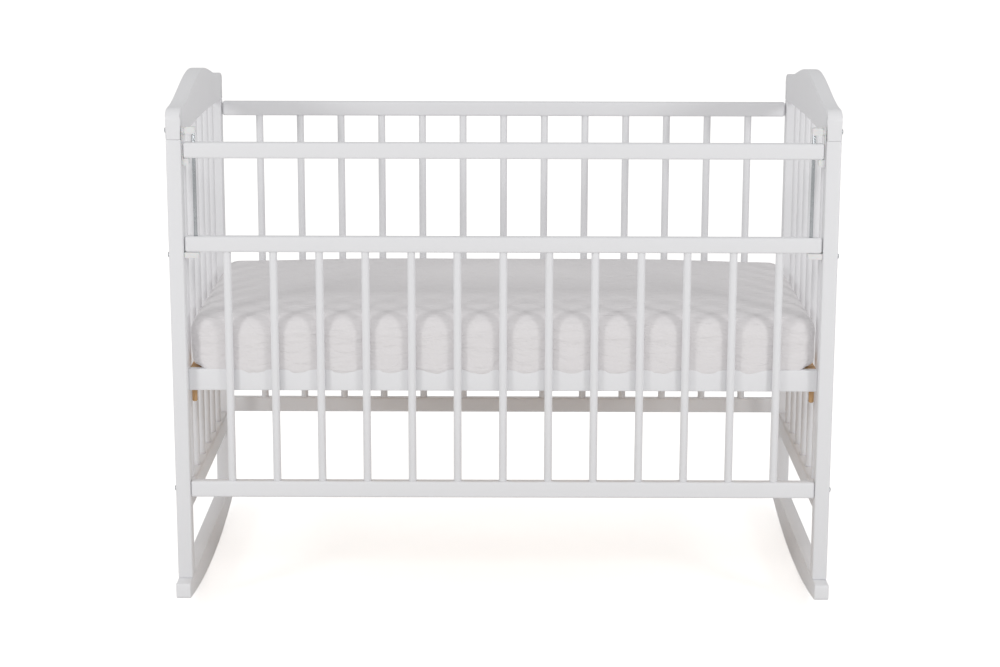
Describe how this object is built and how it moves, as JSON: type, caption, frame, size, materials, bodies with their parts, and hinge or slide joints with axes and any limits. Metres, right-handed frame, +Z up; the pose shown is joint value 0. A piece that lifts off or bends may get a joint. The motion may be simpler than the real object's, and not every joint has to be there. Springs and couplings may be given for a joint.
{
  "type": "baby crib",
  "caption": "Rocking baby crib with round bars, arched end boards, a front top bar that lowers on guide rods, a slatted base and a covered mattress.",
  "frame": {"origin": "on the floor under the middle of the crib, midway between the two rockers", "axes": "+X along the crib to its right end seen from the front, +Y from the front to the back, +Z up"},
  "size_m": [1.2626, 0.718, 1.01],
  "materials": {
    "painted_wood": "satin",
    "bare_wood": "matte",
    "white_plastic": "satin",
    "zinc_steel": "satin",
    "cotton_cover": "matte"
  },
  "bodies": {
    "root": {"post_front_left": "painted_wood", "post_front_right": "painted_wood", "post_back_left": "painted_wood", "post_back_right": "painted_wood", "rocker_left": "painted_wood", "end_board_left": "painted_wood", "end_grille_left": "painted_wood", "rocker_right": "painted_wood", "end_board_right": "painted_wood", "end_grille_right": "painted_wood", "front_mid_rail": "painted_wood", "front_bottom_rail": "painted_wood", "back_top_rail": "painted_wood", "back_bottom_rail": "painted_wood", "front_bar_01": "painted_wood", "front_bar_02": "painted_wood", "front_bar_03": "painted_wood", "front_bar_04": "painted_wood", "front_bar_05": "painted_wood", "front_bar_06": "painted_wood", "front_bar_07": "painted_wood", "front_bar_08": "painted_wood", "front_bar_09": "painted_wood", "front_bar_10": "painted_wood", "front_bar_11": "painted_wood", "front_bar_12": "painted_wood", "front_bar_13": "painted_wood", "back_bar_01": "painted_wood", "back_bar_02": "painted_wood", "back_bar_03": "painted_wood", "back_bar_04": "painted_wood", "back_bar_05": "painted_wood", "back_bar_06": "painted_wood", "back_bar_07": "painted_wood", "back_bar_08": "painted_wood", "back_bar_09": "painted_wood", "back_bar_10": "painted_wood", "back_bar_11": "painted_wood", "back_bar_12": "painted_wood", "back_bar_13": "painted_wood", "deck_rail_front": "painted_wood", "deck_rail_back": "painted_wood", "slat_deck": "bare_wood", "deck_peg_front_left": "bare_wood", "deck_peg_front_right": "bare_wood", "deck_peg_back_left": "bare_wood", "deck_peg_back_right": "bare_wood", "upper_rod_holder_left": "white_plastic", "upper_rod_holder_right": "white_plastic", "lower_rod_holder_left": "white_plastic", "lower_rod_holder_right": "white_plastic", "guide_rod_left": "zinc_steel", "guide_rod_right": "zinc_steel", "pivot_bolt_left": "zinc_steel", "pivot_bolt_right": "zinc_steel"},
    "drop_rail": {"drop_rail": "painted_wood"},
    "catch_left": {"catch_left": "white_plastic"},
    "catch_right": {"catch_right": "white_plastic"},
    "mattress": {"mattress": "cotton_cover"}
  },
  "joints": [
    {"name": "drop_rail_slide", "type": "slide", "parent": "root", "child": "drop_rail", "axis": [0, 0, -1], "range_m": [0, 0.147], "deforming": ["catch_left", "catch_right"]},
    {"name": "catch_left_swing", "type": "hinge", "parent": "root", "child": "catch_left", "pos_m": [-0.6, -0.31, 0.929], "axis": [-1, 0, 0], "range_deg": [0, 30], "stiffness_Nm_per_rad": 0.02},
    {"name": "catch_right_swing", "type": "hinge", "parent": "root", "child": "catch_right", "pos_m": [0.6, -0.31, 0.929], "axis": [-1, 0, 0], "range_deg": [0, 30], "stiffness_Nm_per_rad": 0.02},
    {"name": "mattress_lift", "type": "slide", "parent": "root", "child": "mattress", "axis": [0, 0, 1], "range_m": [0, 0.5]}
  ]
}
